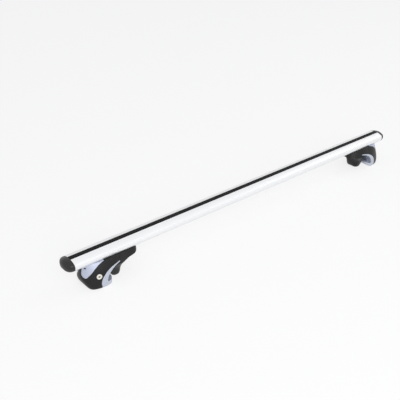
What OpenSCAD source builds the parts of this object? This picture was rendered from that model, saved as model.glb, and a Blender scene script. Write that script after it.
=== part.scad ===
// Roof rack crossbar: an extruded aluminium bar that stands on two clamp feet.
// +X runs along the bar, +Z is up, and the origin lies on the ground under the middle of the bar.

/* [Bar] */
// Length of the aluminium extrusion
bar_len = 1200; // [900:10:1500]
// Width of the extrusion
bar_w = 58; // [54:1:64]
// Height of the extrusion
bar_h = 30; // [28:1:34]
// Radius of the crowned top face
crown_r = 52; // [44:1:80]
// Wall of the extrusion
bar_wall = 2.2; // [1.6:0.1:2.6]
// Height of the bar's underside above the ground
stand_h = 67; // [66:1:74]

/* [Top slot and strip] */
// Width of the strip's flat head
strip_w = 16; // [14:0.5:18]
// Thickness of the strip's head
strip_t = 2; // [1.5:0.1:2.5]
// Width of the slot that a T-bolt rises through
slot_w = 11; // [8:0.5:12]
// Width of the channel under the slot
channel_w = 20; // [18:0.5:22]
// Thickness of the lips that overhang the channels
lip_t = 2.6; // [2.2:0.1:3]
// Height of each channel
channel_h = 6; // [5.2:0.1:6.4]

/* [Lower slot] */
// Width of the lower slot that the feet are screwed through
lower_slot_w = 10; // [9:0.5:12]

/* [End caps] */
// Length of the domed cap outside the bar
cap_len = 22; // [18:0.5:26]
// Length of the cap's plugs inside the bar
plug_len = 14; // [8:1:20]
// Wall of the cap's plugs
plug_wall = 1.6; // [1.2:0.1:2]

/* [Foot] */
// Distance from the left end of the extrusion to the left foot's datum
left_inset = 84; // [70:1:250]
// Distance from the right end of the extrusion to the right foot's datum
right_inset = 70; // [70:1:250]
// Widest width of a foot
foot_w = 88; // [84:1:92]
// Distance from the datum to the tip of the nose
nose_len = 62; // [60:1:66]
// Distance from the datum to the tip of the tail
tail_len = 100; // [98:1:106]
// Width of the tail
tail_w = 60; // [54:1:64]
// Radius of the tail's corners in plan
tail_r = 14; // [10:1:18]
// Height of the foot's upper rim above the bar's underside
rim_h = 5; // [4:0.5:7]
// Height at which the flanks are widest
belly_z = 30; // [26:1:34]

/* [Hook] */
// Height of the middle of the hook's curves above the ground
hook_z = 12; // [10:0.5:13]
// Distance of the middle of the hook's curves from the datum
hook_x = 40; // [38:0.5:42]
// Half length of the hook's outer curve
hook_out_a = 63; // [60:0.5:64]
// Height of the bar's underside above the top of the hook's outer curve
hook_drop = 12; // [11:0.5:13]
// Half length of the hook's inner curve
hook_in_a = 46; // [44:0.5:47]
// Thickness of the hook's arch at its top
arch_t = 3; // [2.5:0.5:4]
// Thickness of the floor behind the lip
lip_floor = 8; // [6:0.5:9]
// How far the lip reaches inboard of the datum
lip_reach = 13; // [9:0.5:14]
// Skin left where the hook is hollowed from behind
hook_skin = 4; // [3:0.5:5]
// Thickness of the rubber pads
pad_t = 2.5; // [2:0.1:3]

/* [Core] */
// Distance from the datum to the core's outboard face
core_out = 38; // [36:0.5:40]
// Distance from the datum to the core's inboard face
core_in = 36; // [34:0.5:37]
// Thickness of the rubber seat between the core and the bar
seat_t = 1.8; // [1.2:0.1:2.4]

/* [Jaw] */
// Distance from the datum to the joint between the foot and the jaw
seam_x = 39; // [38:0.5:40]
// How far the jaw opens
jaw_travel = 24; // [16:1:24]
// Width of the jaw's claw
jaw_w = 60; // [54:1:66]

/* [Cover] */
// Wall of the cover
cover_wall = 2.6; // [2:0.1:3.2]
// Thickness of the silver side trims
trim_t = 1.2; // [0.8:0.1:1.4]

/* [Fasteners and lock] */
// Nominal diameter of the draw bolt
bolt_d = 8; // [6:1:8]
// Distance from the bar's underside down to the draw bolt
bolt_drop = 12.5; // [12.5:0.5:14]
// Nominal diameter of the two foot screws
screw_d = 6; // [5:0.5:6]
// Diameter of the lock barrel
barrel_d = 10; // [9:0.2:11]
// Outer diameter of the lock ring
ring_d = 14.6; // [13.6:0.2:16]
// Distance of the lock from the datum
lock_x = 27; // [25:0.5:29]
// Distance from the bar's underside down to the lock
lock_drop = 31; // [29:0.5:32]

/* [Hidden] */
$fn = 48;
aluminium = [0.86, 0.87, 0.88];
silver = [0.72, 0.75, 0.81];
black = [0.13, 0.13, 0.14];
rubber = [0.09, 0.09, 0.09];
zinc = [0.66, 0.66, 0.64];

// Clearances: a sliding or parting gap, a shaft's gap on its radius, and a face that only touches
gap = 0.3;
run_gap = 0.05;
rest_gap = 0.1;
eps = 0.01;

// Heights that follow from the bar and the foot
bar_top = stand_h + bar_h;
end_r = bar_h / 2;
mid_z = stand_h + end_r;
rim_z = stand_h + rim_h;
core_top = stand_h - rest_gap - seat_t;
bolt_z = stand_h - bolt_drop;
lock_z = stand_h - lock_drop;

// Widths and lengths that follow from the bar and the foot
half_w = foot_w / 2;
core_w = foot_w / 2;
hook_out_b = stand_h - hook_drop - hook_z;
hook_in_b = hook_out_b - arch_t;

// Places of the screws, and the draw bolt's length
screw_xs = [-24, 18];
guide_recess = 9;
screw_head_d = screw_d + 4;
screw_head_h = 3.5;
screw_head_z = bolt_z + bolt_d / 2 + gap + screw_head_h;
bolt_head_d = bolt_d + 5;
washer_t = 1.6;
nut_t = 6.5;
nut_af = bolt_d + 5;
nut_x = seam_x + 2;
guide_x = tail_len - 16;
guide_len = 20;
guide_screw_d = 4;
bolt_end = guide_x - 12;

// The lock: its axis leans inboard by the yaw, and the cam ends short of the hook when it is open
lock_yaw = 15;
barrel_len = half_w - core_w / 2 - 10;
barrel_out = 0.8;
ring_depth = 2.4;
cam_t = 2.5;
cam_w = 6;
cam_len = (lock_x + hook_out_x(lock_z - cam_w / 2) - (barrel_len + cam_t) * sin(lock_yaw) - 2 * gap)
    / cos(lock_yaw);

// The plan sections that a foot is lofted through, as shares of the rim's height
levels = [0, 0.03, 0.1, 0.24, 0.4, 0.55, 0.7, 0.85, 1];
nose_steps = 9;
tail_steps = 11;
plan_mid = -2;
wave_start = 12;
wave_end = 74;

// How far up from the belly to the rim a height lies, from 0 to 1
function rise(z) = max(0, (z - belly_z) / (rim_z - belly_z));

// Share of the full width that the flanks have at a height, so they lean in towards the bar
function flank(z) = 1 - 0.28 * pow(rise(z), 1.8) - 0.06 * pow(max(0, (8 - z) / 8), 2);

// Outboard tip of a plan section: it leans out from the heel and rounds back in below the bar
function nose(z, inset) =
    -nose_len + 12 * pow(max(0, 1 - z / belly_z), 1.8) + 9 * pow(rise(z), 1.6) + inset;

// Exponent that squares off the heel near the ground and rounds the nose above it
function bluntness(z) = 2 + 4 * pow(max(0, 1 - z / (1.5 * belly_z)), 2);

// Half width on the outboard side at an angle from 0 at the nose to 90 at the widest place
function nose_half(a, z, inset) = (half_w - inset) * flank(z) * pow(sin(a), 2 / bluntness(z));

// Half width on the inboard side: a wave down to the tail, whose flanks stand upright and whose
// end is flat with round corners
function tail_half(x, z, inset) =
    let (w = tail_w / 2 - inset,
         s = min(1, max(0, (x - wave_start) / (wave_end - wave_start))),
         wave = w + (half_w - tail_w / 2) * (1 + cos(180 * s)) / 2,
         over = max(0, x - (tail_len - inset - tail_r)) / tail_r,
         corner = w - tail_r + tail_r * sqrt(max(0, 1 - over * over)))
    (over > 0 ? corner : wave) * (1 - (1 - 0.85 * s) * (1 - flank(z)));

// Outboard edge of the hook's outer curve at a height
function hook_out_x(z) = hook_x - hook_out_a * sqrt(1 - pow((z - hook_z) / hook_out_b, 2));

function nose_points(z, inset) = [
    for (i = [0 : nose_steps])
        let (a = 90 * i / nose_steps)
        [plan_mid - (plan_mid - nose(z, inset)) * cos(a), nose_half(a, z, inset)]
];
function tail_points(z, inset) = [
    for (i = [1 : tail_steps])
        let (x = plan_mid + (tail_len - inset - plan_mid) * sin(90 * i / tail_steps))
        [x, tail_half(x, z, inset)]
];
function half_plan(z, inset) = concat(nose_points(z, inset), tail_points(z, inset));
function full_plan(z, inset) =
    let (h = half_plan(z, inset), n = len(h))
    concat([for (i = [0 : n - 1]) [h[i][0], -h[i][1]]], [for (i = [n - 1 : -1 : 1]) h[i]]);

// Solid lofted through rings of points, the lowest ring first
module loft(rings) {
    n = len(rings[0]);
    m = len(rings);
    points = [for (r = rings) each r];
    sides = [for (k = [0 : m - 2], i = [0 : n - 1], t = [0, 1])
        let (a = k * n + i, b = k * n + (i + 1) % n)
        t == 0 ? [a, a + n, b] : [b, a + n, b + n]];
    base = [[for (i = [0 : n - 1]) i]];
    lid = [[for (i = [n - 1 : -1 : 0]) (m - 1) * n + i]];
    polyhedron(points, concat(base, sides, lid), convexity = 6);
}

// Outer form of a foot, lofted through plan sections; a positive inset gives the inside of a shell
module foot_form(inset = 0) {
    low = inset;
    high = inset > 0 ? rim_z + 2 : rim_z;
    loft([for (t = levels) let (z = low + (high - low) * t)
        [for (p = full_plan(min(z, rim_z), inset)) [p[0], p[1], z]]]);
}

function oval(cx, cz, a, b, from = 0, to = 360, steps = 40) = [
    for (i = [0 : steps]) let (t = from + (to - from) * i / steps) [cx + a * cos(t), cz + b * sin(t)]
];

// A side-view outline, in X and Z, carried across a width in Y
module across(width) {
    rotate([90, 0, 0]) linear_extrude(width, center = true) children();
}

// A front-view outline, in Y and Z, carried along the bar
module along(length) {
    rotate([90, 0, 90]) linear_extrude(length, center = true) children();
}

// The left foot lies at -X with its nose outboard, and the right one is the same piece turned round
module at_foot(side) {
    if (side == "left") translate([left_inset - bar_len / 2, 0, 0]) children();
    else rotate([0, 0, 180]) translate([right_inset - bar_len / 2, 0, 0]) children();
}

// Outline of the extrusion: a flat oval whose top is cut by the crown's arc
module bar_outline(inset = 0) {
    intersection() {
        translate([0, bar_top - crown_r]) circle(r = crown_r - inset, $fn = 120);
        union() {
            for (s = [-1, 1]) translate([s * (bar_w / 2 - end_r), mid_z]) circle(r = end_r - inset);
            translate([-(bar_w / 2 - end_r), stand_h + inset]) square([bar_w - 2 * end_r, bar_h - 2 * inset]);
        }
    }
}

slot_top = bar_top - strip_t;
top_channel_z = slot_top - lip_t - channel_h;
low_channel_z = stand_h + lip_t;

module channel_walls() {
    w = channel_w + 2 * bar_wall;
    intersection() {
        bar_outline();
        union() {
            translate([-w / 2, top_channel_z - bar_wall]) square([w, bar_h]);
            translate([-w / 2, stand_h]) square([w, lip_t + channel_h + bar_wall]);
            for (s = [-1, 1])
                translate([s * channel_w / 4 - bar_wall / 2, stand_h]) square([bar_wall, bar_h / 2 + end_r / 2]);
        }
    }
}

module channel_spaces() {
    translate([-strip_w / 2 - rest_gap, slot_top]) square([strip_w + 2 * rest_gap, bar_h]);
    translate([-slot_w / 2, slot_top - lip_t - eps]) square([slot_w, lip_t + 1]);
    translate([-channel_w / 2, top_channel_z]) square([channel_w, channel_h]);
    translate([-channel_w / 2, low_channel_z]) square([channel_w, channel_h]);
    translate([-lower_slot_w / 2, stand_h - 1]) square([lower_slot_w, lip_t + 1 + eps]);
}

module bar_profile() {
    color(aluminium) along(bar_len) difference() {
        union() {
            difference() {
                bar_outline();
                bar_outline(bar_wall);
            }
            channel_walls();
        }
        channel_spaces();
    }
}

// Rubber strip: a flat head in the top recess, a stem in the slot and two barbs under the lips
module top_strip() {
    stem_w = slot_w - 2 * rest_gap;
    barb_w = slot_w + 3;
    color(rubber) along(bar_len) union() {
        translate([-strip_w / 2, slot_top]) square([strip_w, strip_t]);
        translate([-stem_w / 2, slot_top - lip_t - 1.4]) square([stem_w, lip_t + 1.4 + eps]);
        polygon([[-stem_w / 2, slot_top - lip_t - rest_gap], [-barb_w / 2, slot_top - lip_t - rest_gap],
            [-stem_w / 2 + 1, slot_top - lip_t - 2.4], [stem_w / 2 - 1, slot_top - lip_t - 2.4],
            [barb_w / 2, slot_top - lip_t - rest_gap], [stem_w / 2, slot_top - lip_t - rest_gap]]);
    }
}

// Domed end cap with two hollow plugs that go into the side chambers of the extrusion
module end_cap() {
    chamber_y = channel_w / 2 + bar_wall + rest_gap;
    plan_r = (pow(cap_len, 2) + pow(bar_w / 2, 2)) / (2 * cap_len) + gap;
    side_r = bar_h * 0.64;
    color(black) union() {
        intersection() {
            translate([cap_len / 2, 0, 0]) along(cap_len) bar_outline();
            translate([cap_len - plan_r, 0, mid_z]) sphere(r = plan_r, $fn = 96);
            translate([cap_len - side_r, 0, mid_z]) rotate([90, 0, 0])
                cylinder(r = side_r, h = bar_w + 2, center = true, $fn = 96);
        }
        for (s = [-1, 1]) intersection() {
            translate([-plug_len / 2 + eps, 0, 0]) along(plug_len + eps) difference() {
                bar_outline(bar_wall + rest_gap);
                bar_outline(bar_wall + rest_gap + plug_wall);
            }
            translate([-plug_len, s > 0 ? chamber_y : -bar_w, stand_h])
                cube([plug_len + 1, bar_w - chamber_y, bar_h]);
        }
    }
}

// The bar's underside as the feet see it, with a parting gap all round
module saddle(extra = gap) {
    along(2 * bar_len) bar_outline(-extra);
}

module hook_outer(grow = 0) {
    polygon(oval(hook_x, hook_z, hook_out_a + grow, hook_out_b + grow));
}

module hook_inner(grow = 0) {
    polygon(oval(hook_x, hook_z, hook_in_a + grow, hook_in_b + grow));
}

// Side view of the hook: between its two curves, with a lip that turns up under the rail
module hook_side() {
    low = asin(hook_z / hook_out_b);
    seam_a = acos((seam_x - gap - hook_x) / hook_out_a);
    polygon(concat(
        oval(hook_x, hook_z, hook_out_a, hook_out_b, seam_a, 180 + low),
        [[lip_reach - 25, 0], [lip_reach - 18, 1], [lip_reach - 10, hook_z - 7], [lip_reach - 4, hook_z - 1.5],
            [lip_reach - 0.4, hook_z + 3.6], [lip_reach, hook_z + 5.4], [lip_reach - 0.9, hook_z + 6.4],
            [lip_reach - 2.4, hook_z + 6.4], [lip_reach - 7, hook_z + 4], [lip_reach - 14, hook_z + 1.5]],
        oval(hook_x, hook_z, hook_in_a, hook_in_b, 176, acos((seam_x - gap - hook_x) / hook_in_a))));
}

// Side view of the core between the hook's outer curve and the bar
module core_side() {
    polygon([[-core_out, lock_z + 6], [-core_out, core_top], [core_in, core_top],
        [core_in, hook_z + hook_out_b * 0.9], [0, hook_z + hook_out_b * 0.65], [-14, hook_z + hook_out_b * 0.4]]);
}

module bolt_hole(from, to, r) {
    translate([from, 0, bolt_z]) rotate([0, 90, 0]) cylinder(r = r, h = to - from);
}

// Cast foot body: the core under the bar and the wide hook whose flanks show as silver crescents
module foot_body() {
    rib = 3;
    color(silver) difference() {
        union() {
            intersection() {
                foot_form();
                across(foot_w + 2) hook_side();
            }
            difference() {
                across(core_w) core_side();
                across(core_w + 2) hook_inner();
                for (s = [-1, 1], x = [-core_out + rib + 6, 0])
                    translate([x, s * core_w / 2, core_top - 14]) cube([14, core_w / 2, 8], center = true);
            }
            translate([-core_out + 1, -core_w / 2 - 6, lock_z + cam_w / 2 + 3]) cube([4, 8, 10]);
        }
        for (s = [-1, 0, 1]) translate([0, s * (foot_w / 3 - 4), 0]) across(foot_w / 3 - 4 - rib)
            difference() {
                translate([-nose_len, lip_floor]) square([nose_len + 2, hook_z + hook_out_b * 0.55]);
                hook_inner(hook_skin);
                core_side();
            }
        bolt_hole(-core_out - 1, seam_x + 1, bolt_d / 2 + gap);
        for (x = screw_xs) translate([x, 0, 0]) {
            cylinder(r = screw_d / 2 + gap, h = core_top + 1);
            translate([0, 0, lip_floor + 2]) cylinder(r = screw_head_d / 2 + gap, h = screw_head_z - lip_floor - 2);
        }
    }
}

// Rubber seat between the core and the flat of the bar
module bar_seat() {
    flat = bar_w - 2 * end_r;
    color(rubber) difference() {
        translate([-core_out, -flat / 2, core_top]) cube([core_out + core_in, flat, seat_t]);
        for (x = screw_xs) translate([x, 0, core_top - 1]) cylinder(r = screw_d / 2 + gap, h = seat_t + 2);
    }
}

// Steel plate that runs in the lower channel and takes the foot screws
plate_z = low_channel_z + rest_gap;
plate_t = 4;
module slot_plate() {
    color(zinc) difference() {
        translate([screw_xs[0] - 9, -channel_w / 2 + 0.5, plate_z])
            cube([screw_xs[1] - screw_xs[0] + 18, channel_w - 1, plate_t]);
        for (x = screw_xs) translate([x, 0, plate_z - 1]) cylinder(r = screw_d / 2, h = plate_t + 2);
    }
}

module foot_screws() {
    color(zinc) for (x = screw_xs) translate([x, 0, screw_head_z - screw_head_h]) difference() {
        union() {
            cylinder(r = screw_head_d / 2, h = screw_head_h);
            cylinder(r = screw_d / 2 - run_gap, h = plate_z + plate_t - screw_head_z + screw_head_h);
        }
        translate([0, 0, -1]) cylinder(r = screw_d / 4 + 0.8, h = screw_head_h, $fn = 6);
    }
}

// Rubber pad bonded into the hook's inner curve
module hook_pad() {
    color([0.35, 0.37, 0.41]) intersection() {
        across(foot_w * 0.6) difference() {
            hook_inner(-rest_gap);
            hook_inner(-pad_t);
        }
        translate([-nose_len, -foot_w / 2, hook_z + 3.2]) cube([nose_len + 8, foot_w, 25]);
    }
}

// Side view of a trim as shares of the nose's length and the rim's height: a round head by the nose
// with a tail that rises along the bar
TRIM = [
    [-0.806, 1.03], [-0.879, 0.889], [-0.927, 0.75], [-0.962, 0.611], [-0.97, 0.54], [-0.962, 0.5],
    [-0.942, 0.47], [-0.911, 0.459], [-0.877, 0.467], [-0.84, 0.5], [-0.782, 0.558], [-0.684, 0.646],
    [-0.565, 0.764], [-0.435, 0.86], [-0.306, 0.932], [-0.161, 0.98], [0.02, 1.03]
];
module trim_side(inset = 0) {
    offset(delta = -inset) polygon([for (p = TRIM) [p[0] * nose_len, p[1] * rim_z]]);
}

// Axis of the lock, square to the flank: local +Z points out of the cover
module at_lock() {
    y = nose_half(acos((plan_mid + lock_x) / (plan_mid - nose(lock_z, 0))), lock_z, 0);
    translate([-lock_x, -y, lock_z]) rotate([0, 0, -lock_yaw]) rotate([90, 0, 0]) children();
}

// Moulded cover: nose, heel and the band that sweeps up to the bar on both flanks
module cover() {
    rail_y = core_w / 2 + gap;
    rim_band = rim_h + 3;
    color(black) difference() {
        union() {
            intersection() {
                difference() {
                    foot_form();
                    difference() {
                        foot_form(cover_wall);
                        for (s = [-1, 1]) translate([0, s * (rail_y + half_w / 2), rim_z])
                            cube([3 * tail_len, half_w, 2 * rim_band], center = true);
                    }
                }
                cover_space();
            }
            intersection() {
                foot_form(cover_wall / 2);
                union() {
                    for (s = [-1, 1]) translate([-22, s * (rail_y + half_w / 2), core_top - 5])
                        cube([32, half_w, 2.4], center = true);
                    at_lock() translate([0, 0, -barrel_len]) cylinder(r = ring_d / 2 + 1.6, h = barrel_len);
                }
            }
        }
        at_lock() translate([0, 0, -barrel_len - 10]) cylinder(r = barrel_d / 2 + run_gap, h = barrel_len + 20);
        at_lock() translate([0, 0, -ring_depth]) cylinder(r = ring_d / 2, h = 10);
        difference() {
            across(foot_w + 2) trim_side();
            foot_form(trim_t);
        }
        for (s = [-1, 1]) at_pin(s) cylinder(r = pin_r, h = 2 * pin_y, center = true);
        saddle();
    }
}

// Where the cover may be: outboard of the seam, outside the hook's curve and under the bar's rim
module cover_space() {
    across(foot_w + 2) difference() {
        translate([-nose_len - 1, 0]) square([nose_len + 1 + seam_x - gap, rim_z]);
        hook_outer(gap);
        translate([plan_mid, -1]) square([tail_len, hook_z]);
    }
}

// Axis of a trim's pin, which runs across the nose, with its middle in the cover's wall
pin_r = 1.6;
pin_x = 51.7;
pin_z = stand_h - 7.8;
pin_y = nose_half(acos((plan_mid + pin_x) / (plan_mid - nose(pin_z, 0))), pin_z, 0);
module at_pin(s) {
    translate([-pin_x, s * pin_y, pin_z]) rotate([-s * 90, 0, 0]) children();
}

module side_trims() {
    color(silver) difference() {
        intersection() {
            foot_form();
            across(foot_w + 2) trim_side(rest_gap);
        }
        foot_form(trim_t);
        for (s = [-1, 1]) at_pin(s) cylinder(r = pin_r, h = 2 * pin_y, center = true);
        saddle();
    }
}

// Two small pins that hold the trims to the cover, with their heads below the surface
module trim_pins() {
    color(black) for (s = [-1, 1]) at_pin(s) translate([0, 0, -6]) cylinder(r = pin_r - run_gap, h = 4.6);
}

module lock_ring() {
    color([0.93, 0.92, 0.88]) at_lock() translate([0, 0, -ring_depth]) difference() {
        cylinder(r = ring_d / 2 - run_gap, h = ring_depth + 1.2);
        translate([0, 0, -1]) cylinder(r = barrel_d / 2 + run_gap, h = 8);
    }
}

module lock_barrel() {
    color([0.75, 0.75, 0.70]) at_lock() difference() {
        translate([0, 0, -barrel_len]) cylinder(r = barrel_d / 2, h = barrel_len + barrel_out);
        translate([0, 0, barrel_out - 0.6]) cube([1.6, 6, 3], center = true);
    }
}

// Cam on the barrel's inner end: it lies inboard when open and turns up behind the core's ear
module lock_cam() {
    color(zinc) at_lock() translate([0, 0, -barrel_len - cam_t]) union() {
        cylinder(r = cam_w / 2, h = cam_t);
        translate([0, -cam_w / 2, 0]) cube([cam_len - cam_w / 2, cam_w, cam_t]);
        translate([cam_len - cam_w / 2, 0, 0]) cylinder(r = cam_w / 2, h = cam_t);
    }
}

// Side view of the jaw: a long tail under the bar and a claw that reaches down inside the hook
module jaw_side() {
    neck_x = hook_x + 22;
    span = tail_len - neck_x;
    polygon(concat(
        [[seam_x, rim_z], [neck_x + 0.74 * span, rim_z], [neck_x + 0.92 * span, stand_h + 1],
            [tail_len, stand_h - 5], [tail_len - 2, stand_h - 10], [neck_x + 0.79 * span, stand_h - 13.5],
            [neck_x + 0.5 * span, stand_h - 17], [neck_x + 0.21 * span, stand_h - 19], [neck_x, stand_h - 22],
            [neck_x - 6, stand_h - 28], [neck_x - 10, (stand_h + hook_z) / 2 - 8.5], [neck_x - 13.5, hook_z + 8],
            [neck_x - 16.5, hook_z - 2], [neck_x - 20, hook_z - 6], [neck_x - 26, hook_z - 7]],
        [[hook_x - 14, hook_z - 6], [hook_x - 20, hook_z], [hook_x - 26, hook_z + 11]],
        oval(hook_x, hook_z, hook_in_a - pad_t - 2, hook_in_b - pad_t - 0.5, 138, 91, 10)));
}

// Rings of the claw from its foot up: height above the hook's middle, reach to each side of it along
// the bar, and how far the ring stands out from half the claw's width
CLAW = [
    [-7, -17, 4, -11], [-5, -19, 6, -6], [-1, -22.5, 8, -2.5], [5, -28, 9.5, -1],
    [14, -36, 12.5, 0], [24, -40, 17, 3], [33, -44, 26, 9]
];
claw_steps = 40;
claw_round = 3.2;
function rounded(t) = sign(t) * pow(abs(t), 2 / claw_round);
module claw_form() {
    loft([for (c = CLAW) let (mid = (c[1] + c[2]) / 2, reach = (c[2] - c[1]) / 2, w = jaw_w / 2 + c[3])
        [for (i = [0 : claw_steps - 1]) let (a = 360 * i / claw_steps)
            [hook_x + mid + reach * rounded(cos(a)), w * rounded(sin(a)), hook_z + c[0]]]]);
}

module inner_jaw() {
    color(black) difference() {
        intersection() {
            foot_form();
            across(foot_w + 2) jaw_side();
            union() {
                claw_form();
                translate([0, -foot_w / 2, hook_z + CLAW[len(CLAW) - 1][0] - eps]) cube([tail_len + 1, foot_w, rim_z]);
            }
        }
        saddle();
        bolt_hole(0, bolt_end + 1.5, bolt_d / 2 + gap);
        translate([seam_x - 1, 0, bolt_z]) rotate([0, 90, 0]) rotate([0, 0, 30])
            cylinder(r = nut_af / 2 / cos(30) + rest_gap, h = nut_x + nut_t - seam_x + 1, $fn = 6);
        translate([guide_x, 0, 0]) {
            cylinder(r = guide_screw_d / 2 + rest_gap, h = rim_z);
            cylinder(r = guide_screw_d + rest_gap, h = stand_h - guide_recess);
        }
    }
}

// Rubber pad on the jaw's sloping face
module jaw_pad() {
    slope = [-6, 11];
    color([0.35, 0.37, 0.41]) translate([hook_x - 20, 0, hook_z]) rotate([0, -atan2(slope[1], slope[0]), 0])
        translate([1, -jaw_w / 2 + 6, rest_gap]) cube([norm(slope) - 2, jaw_w - 12, pad_t - 1]);
}

module jaw_nut() {
    color(zinc) translate([nut_x, 0, bolt_z]) rotate([0, 90, 0]) difference() {
        rotate([0, 0, 30]) cylinder(r = nut_af / 2 / cos(30), h = nut_t, $fn = 6);
        translate([0, 0, -1]) cylinder(r = bolt_d / 2, h = nut_t + 2);
    }
}

// T-shaped runner that holds the tail up against the bar
module jaw_guide() {
    neck_w = lower_slot_w - 2 * gap;
    color(black) difference() {
        union() {
            translate([guide_x - guide_len / 2, -channel_w / 2 + 0.5, plate_z])
                cube([guide_len, channel_w - 1, plate_t]);
            translate([guide_x - guide_len / 2, -neck_w / 2, stand_h - gap])
                cube([guide_len, neck_w, lip_t + gap + plate_t]);
        }
        translate([guide_x, 0, stand_h - 1]) cylinder(r = guide_screw_d / 2, h = plate_t + lip_t + 2);
    }
}

module guide_screw() {
    head_h = 3;
    color(zinc) translate([guide_x, 0, stand_h - guide_recess - head_h]) difference() {
        union() {
            cylinder(r = guide_screw_d, h = head_h);
            cylinder(r = guide_screw_d / 2 - run_gap, h = plate_z + plate_t - stand_h + guide_recess + 2);
        }
        translate([0, 0, -1]) cylinder(r = guide_screw_d / 4 + 0.6, h = 3, $fn = 6);
    }
}

module draw_bolt() {
    head = bolt_d;
    color(zinc) translate([-core_out - washer_t, 0, bolt_z]) rotate([0, 90, 0]) difference() {
        union() {
            translate([0, 0, -head]) cylinder(r = bolt_head_d / 2, h = head);
            cylinder(r = bolt_d / 2 - run_gap, h = bolt_end + core_out + washer_t);
        }
        translate([0, 0, -head - 1]) cylinder(r = bolt_d / 2 - 0.6, h = head / 2 + 1, $fn = 6);
    }
}

module bolt_washer() {
    color(zinc) translate([-core_out - washer_t, 0, bolt_z]) rotate([0, 90, 0]) difference() {
        cylinder(r = bolt_d, h = washer_t);
        translate([0, 0, -1]) cylinder(r = bolt_d / 2 + rest_gap, h = washer_t + 2);
    }
}

module both(name, side) {
    at_foot(side) children();
}

bar_profile();
top_strip();
translate([bar_len / 2, 0, 0]) end_cap();  // end_cap_right
rotate([0, 0, 180]) translate([bar_len / 2, 0, 0]) end_cap();  // end_cap_left
for (side = ["left", "right"]) {
    both("foot_body", side) foot_body();
    both("bar_seat", side) bar_seat();
    both("slot_plate", side) slot_plate();
    both("foot_screws", side) foot_screws();
    both("hook_pad", side) hook_pad();
    both("cover", side) cover();
    both("side_trims", side) side_trims();
    both("trim_pins", side) trim_pins();
    both("lock_ring", side) lock_ring();
    both("lock_barrel", side) lock_barrel();
    both("lock_cam", side) lock_cam();
    both("inner_jaw", side) inner_jaw();
    both("jaw_pad", side) jaw_pad();
    both("jaw_nut", side) jaw_nut();
    both("jaw_guide", side) jaw_guide();
    both("guide_screw", side) guide_screw();
    both("draw_bolt", side) draw_bolt();
    both("bolt_washer", side) bolt_washer();
}
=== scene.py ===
# Roof rack crossbar: an aluminium bar on two clamp feet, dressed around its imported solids.
import math
import bpy
import bmesh
from mathutils import Matrix, Vector


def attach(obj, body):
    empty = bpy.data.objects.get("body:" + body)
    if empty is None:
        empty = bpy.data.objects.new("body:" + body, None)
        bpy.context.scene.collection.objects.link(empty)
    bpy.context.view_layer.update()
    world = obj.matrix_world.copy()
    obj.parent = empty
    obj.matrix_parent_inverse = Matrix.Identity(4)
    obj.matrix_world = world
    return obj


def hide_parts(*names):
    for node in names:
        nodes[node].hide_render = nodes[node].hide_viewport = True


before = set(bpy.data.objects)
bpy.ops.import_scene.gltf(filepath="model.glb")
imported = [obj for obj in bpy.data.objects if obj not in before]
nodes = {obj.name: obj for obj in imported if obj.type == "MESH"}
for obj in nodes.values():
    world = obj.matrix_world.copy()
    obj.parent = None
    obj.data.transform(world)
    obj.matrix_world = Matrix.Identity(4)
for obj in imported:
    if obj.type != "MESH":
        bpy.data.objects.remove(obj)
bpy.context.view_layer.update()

# Studio: a plain pale floor under soft light, with a white surround that the camera and the
# glossy surfaces see. A large soft lamp stands in front of the bar, and a weak one off its right end.
scene = bpy.context.scene
scene.view_settings.view_transform = "Standard"

world = bpy.data.worlds.new("studio_surround")
scene.world = world
world.use_nodes = True
tree = world.node_tree
tree.nodes.clear()
surround_out = tree.nodes.new("ShaderNodeOutputWorld")
rays = tree.nodes.new("ShaderNodeLightPath")
seen = tree.nodes.new("ShaderNodeMath")
seen.operation = "MAXIMUM"
seen_too = tree.nodes.new("ShaderNodeMath")
seen_too.operation = "MAXIMUM"
shown = tree.nodes.new("ShaderNodeBackground")
shown.inputs["Color"].default_value = (1, 1, 1, 1)
shown.inputs["Strength"].default_value = 1.0
fill = tree.nodes.new("ShaderNodeBackground")
fill.inputs["Color"].default_value = (0.97, 0.98, 1, 1)
fill.inputs["Strength"].default_value = 0.5
choose = tree.nodes.new("ShaderNodeMixShader")
tree.links.new(rays.outputs["Is Camera Ray"], seen.inputs[0])
tree.links.new(rays.outputs["Is Glossy Ray"], seen.inputs[1])
tree.links.new(seen.outputs[0], seen_too.inputs[0])
tree.links.new(rays.outputs["Is Transmission Ray"], seen_too.inputs[1])
tree.links.new(seen_too.outputs[0], choose.inputs["Fac"])
tree.links.new(fill.outputs[0], choose.inputs[1])
tree.links.new(shown.outputs[0], choose.inputs[2])
tree.links.new(choose.outputs[0], surround_out.inputs["Surface"])

# half width and height of the floor in metres, clear of the faces that the feet stand on, and how
# strongly and for what share it shines where the camera sees it
floor_half, floor_low = 60.0, -0.0002
floor_glow, glow_share = 1.05, 0.72
bpy.ops.mesh.primitive_plane_add(size=2 * floor_half, location=(0, 0, floor_low))
floor = bpy.context.object
floor.name = "studio_floor"
floor_paint = bpy.data.materials.new("studio_floor_paint")
floor_paint.use_nodes = True
tree = floor_paint.node_tree
tree.nodes.clear()
floor_out = tree.nodes.new("ShaderNodeOutputMaterial")
rays = tree.nodes.new("ShaderNodeLightPath")
matt = tree.nodes.new("ShaderNodeBsdfDiffuse")
matt.inputs["Color"].default_value = (0.93, 0.93, 0.93, 1)
glow = tree.nodes.new("ShaderNodeEmission")
glow.inputs["Color"].default_value = (1, 1, 1, 1)
glow.inputs["Strength"].default_value = floor_glow
seen = tree.nodes.new("ShaderNodeMath")
seen.operation = "MAXIMUM"
share = tree.nodes.new("ShaderNodeMath")
share.operation = "MULTIPLY"
share.inputs[1].default_value = glow_share
choose = tree.nodes.new("ShaderNodeMixShader")
tree.links.new(rays.outputs["Is Camera Ray"], seen.inputs[0])
tree.links.new(rays.outputs["Is Glossy Ray"], seen.inputs[1])
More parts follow.
